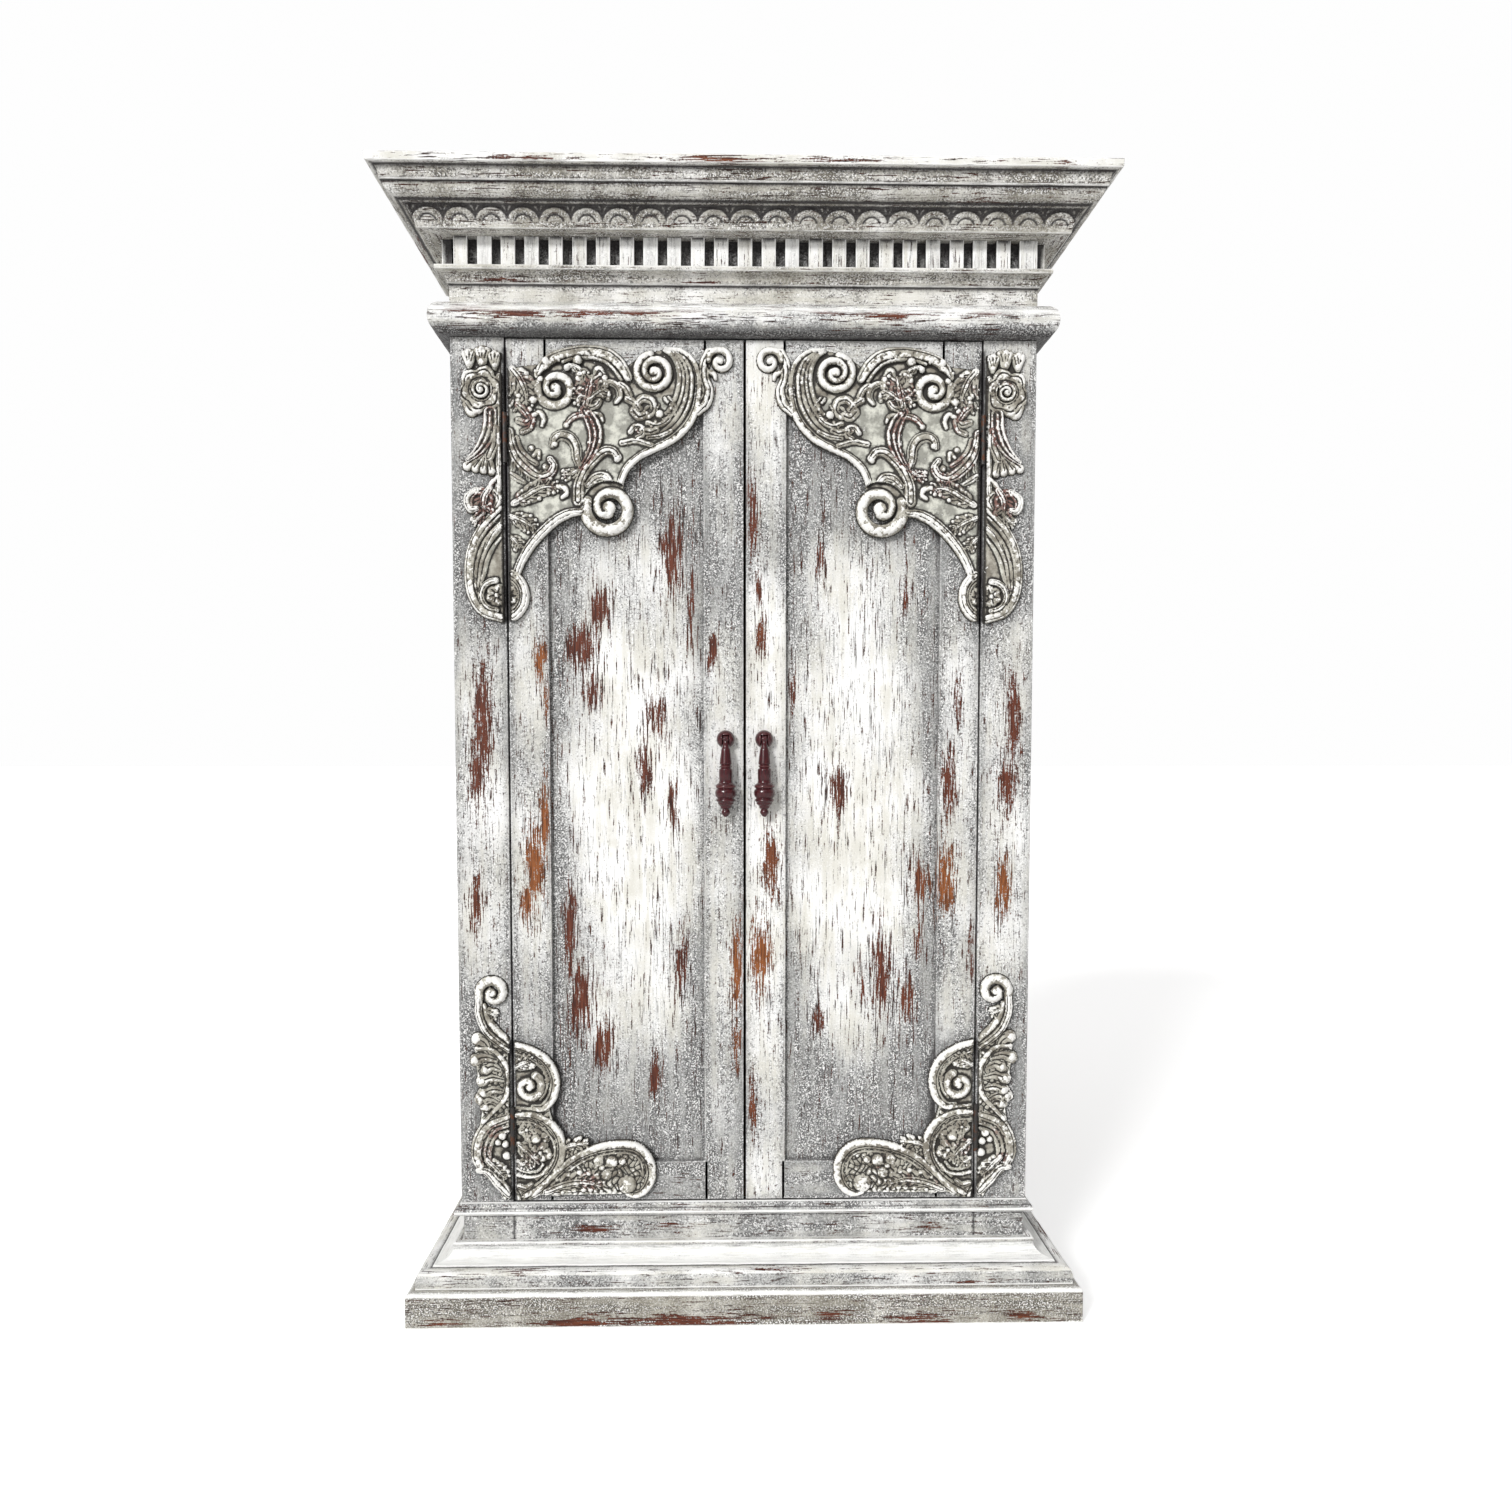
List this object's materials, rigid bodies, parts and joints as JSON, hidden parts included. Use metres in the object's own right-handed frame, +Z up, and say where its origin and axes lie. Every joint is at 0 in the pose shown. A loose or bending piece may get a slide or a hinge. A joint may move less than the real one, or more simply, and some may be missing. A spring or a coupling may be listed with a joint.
{
  "type": "armoire",
  "caption": "Tall two-door painted wooden armoire with carved corner scrolls, dentil cornice, moulded plinth, drop pulls, hat shelf and hanging rail.",
  "frame": {"origin": "on the floor, under the middle of the bounding box", "axes": "+Z up, -Y out of the doors towards a person standing in front, +X to that person's right"},
  "size_m": [1.32, 0.68, 2.1],
  "materials": {
    "painted_wood": "worn cream-white paint over grey wash and red-brown wood, matt",
    "carved_paint": "dry-brushed white ridges over dark hollows, matt",
    "bare_wood": "oiled plain boards",
    "turned_wood": "gloss red-brown lacquer",
    "hinge_iron": "dull black-brown"
  },
  "bodies": {
    "case": {"back_panel": "bare_wood", "base_cap_front": "painted_wood", "base_cap_left": "painted_wood", "base_cap_right": "painted_wood", "base_rail_front": "painted_wood", "base_rail_left": "painted_wood", "base_rail_right": "painted_wood", "bottom_board": "bare_wood", "cornice_lid": "painted_wood", "crown_front": "painted_wood", "crown_left": "painted_wood", "crown_right": "painted_wood", "dentil_front": "painted_wood", "frieze_front": "painted_wood", "frieze_left": "painted_wood", "frieze_right": "painted_wood", "front_stile_left": "painted_wood", "front_stile_right": "painted_wood", "hanging_rail": "bare_wood", "hat_shelf": "bare_wood", "hinge_frame_leaf_lower_left": "hinge_iron", "hinge_frame_leaf_lower_right": "hinge_iron", "hinge_frame_leaf_upper_left": "hinge_iron", "hinge_frame_leaf_upper_right": "hinge_iron", "plinth_front": "painted_wood", "plinth_left": "painted_wood", "plinth_right": "painted_wood", "side_panel_left": "painted_wood", "side_panel_right": "painted_wood", "stile_carving_foot_left": "carved_paint", "stile_carving_foot_right": "carved_paint", "stile_carving_top_left": "carved_paint", "stile_carving_top_right": "carved_paint", "top_board": "bare_wood", "torus_front": "painted_wood", "torus_left": "painted_wood", "torus_right": "painted_wood"},
    "left_door": {"door_bottom_rail_left": "painted_wood", "door_carving_foot_left": "carved_paint", "door_carving_top_left": "carved_paint", "door_hinge_stile_left": "painted_wood", "door_meeting_stile_left": "painted_wood", "door_panel_left": "painted_wood", "door_top_rail_left": "painted_wood", "hinge_door_leaf_lower_left": "hinge_iron", "hinge_door_leaf_upper_left": "hinge_iron", "pull_rosette_left": "turned_wood"},
    "right_door": {"door_bottom_rail_right": "painted_wood", "door_carving_foot_right": "carved_paint", "door_carving_top_right": "carved_paint", "door_hinge_stile_right": "painted_wood", "door_meeting_stile_right": "painted_wood", "door_panel_right": "painted_wood", "door_top_rail_right": "painted_wood", "hinge_door_leaf_lower_right": "hinge_iron", "hinge_door_leaf_upper_right": "hinge_iron", "pull_rosette_right": "turned_wood"},
    "left_pull": {"pull_drop_left": "turned_wood"},
    "right_pull": {"pull_drop_right": "turned_wood"}
  },
  "joints": [
    {"name": "left_door_hinge", "type": "hinge", "parent": "case", "child": "left_door", "pos_m": [-0.44, -0.232, 1.016], "axis": [0, 0, -1], "range_deg": [0, 95]},
    {"name": "right_door_hinge", "type": "hinge", "parent": "case", "child": "right_door", "pos_m": [0.44, -0.232, 1.016], "axis": [0, 0, 1], "range_deg": [0, 95]},
    {"name": "left_pull_swing", "type": "hinge", "parent": "left_door", "child": "left_pull", "pos_m": [-0.036, -0.2405, 1.089], "axis": [-1, 0, 0], "range_deg": [0, 80]},
    {"name": "right_pull_swing", "type": "hinge", "parent": "right_door", "child": "right_pull", "pos_m": [0.036, -0.2405, 1.089], "axis": [-1, 0, 0], "range_deg": [0, 80]}
  ]
}
